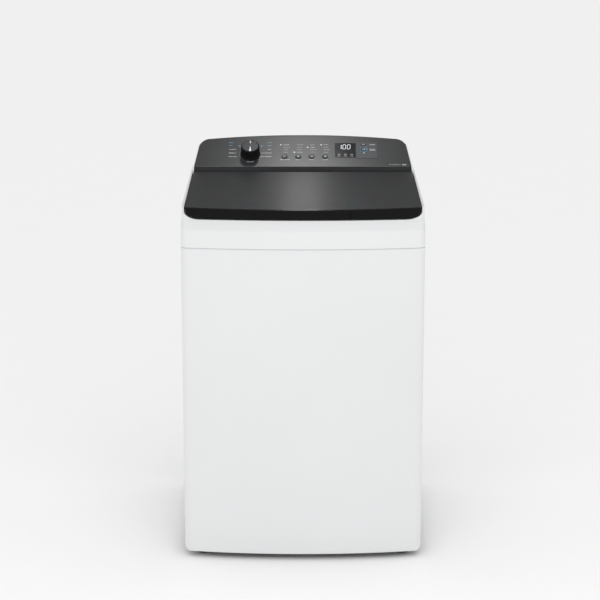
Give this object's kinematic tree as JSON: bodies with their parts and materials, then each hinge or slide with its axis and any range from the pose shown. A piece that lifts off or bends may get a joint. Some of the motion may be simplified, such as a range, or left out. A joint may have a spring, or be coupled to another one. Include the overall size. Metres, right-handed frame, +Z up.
{
  "type": "top load washing machine",
  "caption": "Free-standing white top load washing machine with a hinged dark glass lid, a sloping control console, a spinning basket and levelling feet.",
  "frame": {"origin": "on the floor under the middle of the overall box", "axes": "+Z up, the bowed front faces -Y, +X to the right seen from the front"},
  "size_m": [0.6, 0.64, 1.0086],
  "materials": {
    "cabinet_paint": "gloss",
    "white_plastic": "gloss",
    "black_plastic": "satin",
    "fascia_gloss": "gloss",
    "panel_grey": "satin",
    "display_black": "gloss",
    "tinted_glass": "gloss",
    "button_silver": "satin",
    "stainless": "brushed",
    "zinc_steel": "satin",
    "dark_steel": "satin",
    "grey_plastic": "matte",
    "blue_plastic": "matte",
    "rubber": "matte",
    "board_green": "matte",
    "cast_alloy": "matte"
  },
  "bodies": {
    "cabinet": {"cabinet_shell": "cabinet_paint", "rear_panel": "zinc_steel", "rear_access_cover": "zinc_steel", "base_frame": "dark_steel", "top_deck": "white_plastic", "hinge_pin_left": "zinc_steel", "hinge_pin_right": "zinc_steel", "lid_lock": "black_plastic", "inlet_valve": "blue_plastic", "water_spout": "grey_plastic", "level_sensor": "grey_plastic", "drain_pump": "black_plastic", "drain_hose": "rubber", "drain_port": "black_plastic", "cable_gland": "rubber", "control_fascia": "fascia_gloss", "display_window": "display_black", "start_panel": "panel_grey", "control_board": "board_green", "selector_switch": "black_plastic", "sump_bellows": "rubber", "suspension_rod_front_left": "zinc_steel", "suspension_rod_front_right": "zinc_steel", "suspension_rod_rear_left": "zinc_steel", "suspension_rod_rear_right": "zinc_steel", "suspension_spring_front_left": "dark_steel", "suspension_spring_front_right": "dark_steel", "suspension_spring_rear_left": "dark_steel", "suspension_spring_rear_right": "dark_steel"},
    "tub": {"outer_tub": "grey_plastic", "tub_cover": "grey_plastic", "bearing_housing": "cast_alloy", "drive_motor": "cast_alloy", "drive_belt": "rubber"},
    "basket": {"wash_basket": "stainless", "balance_ring": "grey_plastic", "basket_hub": "cast_alloy", "lint_filter": "grey_plastic"},
    "agitator": {"pulsator": "grey_plastic", "drive_shaft": "zinc_steel", "drive_pulley": "cast_alloy"},
    "rotor": {"motor_pulley": "zinc_steel"},
    "lid": {"lid_frame": "black_plastic", "lid_glass": "tinted_glass", "lid_handle": "black_plastic"},
    "knob": {"selector_knob": "black_plastic"},
    "detergent_tray": {"detergent_drawer": "grey_plastic"},
    "softener_tray": {"softener_drawer": "grey_plastic"},
    "power_key": {"power_button": "button_silver"},
    "start_key": {"start_button": "button_silver"},
    "option_key_1": {"option_button_1": "button_silver"},
    "option_key_2": {"option_button_2": "button_silver"},
    "option_key_3": {"option_button_3": "button_silver"},
    "option_key_4": {"option_button_4": "button_silver"},
    "foot_front_left": {"leveling_foot_front_left": "rubber"},
    "foot_front_right": {"leveling_foot_front_right": "rubber"},
    "foot_rear_left": {"leveling_foot_rear_left": "rubber"},
    "foot_rear_right": {"leveling_foot_rear_right": "rubber"}
  },
  "joints": [
    {"name": "lid_hinge", "type": "hinge", "parent": "cabinet", "child": "lid", "pos_m": [0, 0.101, 0.916], "axis": [-1, 0, 0], "range_deg": [0, 85]},
    {"name": "tub_bounce", "type": "slide", "parent": "cabinet", "child": "tub", "axis": [0, 0, 1], "range_m": [-0.015, 0.015], "stiffness_N_per_m": 18000, "springref_m": 0.01542, "deforming": ["suspension_spring_front_left", "suspension_spring_front_right", "suspension_spring_rear_left", "suspension_spring_rear_right", "sump_bellows"]},
    {"name": "basket_spin", "type": "hinge", "parent": "tub", "child": "basket", "pos_m": [0, -0.01, 0.2], "axis": [0, 0, 1], "continuous": true},
    {"name": "pulsator_spin", "type": "hinge", "parent": "tub", "child": "agitator", "pos_m": [0, -0.01, 0.2], "axis": [0, 0, 1], "continuous": true},
    {"name": "motor_spin", "type": "hinge", "parent": "tub", "child": "rotor", "pos_m": [0.165, 0.06, 0.09], "axis": [0, 0, 1], "continuous": true},
    {"name": "knob_turn", "type": "hinge", "parent": "cabinet", "child": "knob", "pos_m": [-0.1406, 0.17428, 0.96552], "axis": [0, -0.5592, 0.829], "continuous": true},
    {"name": "detergent_slide", "type": "slide", "parent": "cabinet", "child": "detergent_tray", "axis": [1, 0, 0], "range_m": [0, 0.058]},
    {"name": "softener_slide", "type": "slide", "parent": "cabinet", "child": "softener_tray", "axis": [-1, 0, 0], "range_m": [0, 0.058]},
    {"name": "option_1_press", "type": "slide", "parent": "cabinet", "child": "option_key_1", "axis": [0, 0.5592, -0.829], "range_m": [0, 0.001], "stiffness_N_per_m": 700, "springref_m": -0.001},
    {"name": "option_2_press", "type": "slide", "parent": "cabinet", "child": "option_key_2", "axis": [0, 0.5592, -0.829], "range_m": [0, 0.001], "stiffness_N_per_m": 700, "springref_m": -0.001},
    {"name": "option_3_press", "type": "slide", "parent": "cabinet", "child": "option_key_3", "axis": [0, 0.5592, -0.829], "range_m": [0, 0.001], "stiffness_N_per_m": 700, "springref_m": -0.001},
    {"name": "option_4_press", "type": "slide", "parent": "cabinet", "child": "option_key_4", "axis": [0, 0.5592, -0.829], "range_m": [0, 0.001], "stiffness_N_per_m": 700, "springref_m": -0.001},
    {"name": "power_press", "type": "slide", "parent": "cabinet", "child": "power_key", "axis": [0, 0.5592, -0.829], "range_m": [0, 0.001], "stiffness_N_per_m": 700, "springref_m": -0.001},
    {"name": "start_press", "type": "slide", "parent": "cabinet", "child": "start_key", "axis": [0, 0.5592, -0.829], "range_m": [0, 0.001], "stiffness_N_per_m": 700, "springref_m": -0.001},
    {"name": "foot_front_left_adjust", "type": "slide", "parent": "cabinet", "child": "foot_front_left", "axis": [0, 0, -1], "range_m": [0, 0.012]},
    {"name": "foot_front_right_adjust", "type": "slide", "parent": "cabinet", "child": "foot_front_right", "axis": [0, 0, -1], "range_m": [0, 0.012]},
    {"name": "foot_rear_left_adjust", "type": "slide", "parent": "cabinet", "child": "foot_rear_left", "axis": [0, 0, -1], "range_m": [0, 0.012]},
    {"name": "foot_rear_right_adjust", "type": "slide", "parent": "cabinet", "child": "foot_rear_right", "axis": [0, 0, -1], "range_m": [0, 0.012]}
  ],
  "couplings": [
    {"joint": "motor_spin", "follows": "pulsator_spin", "ratio": 4.4694}
  ]
}
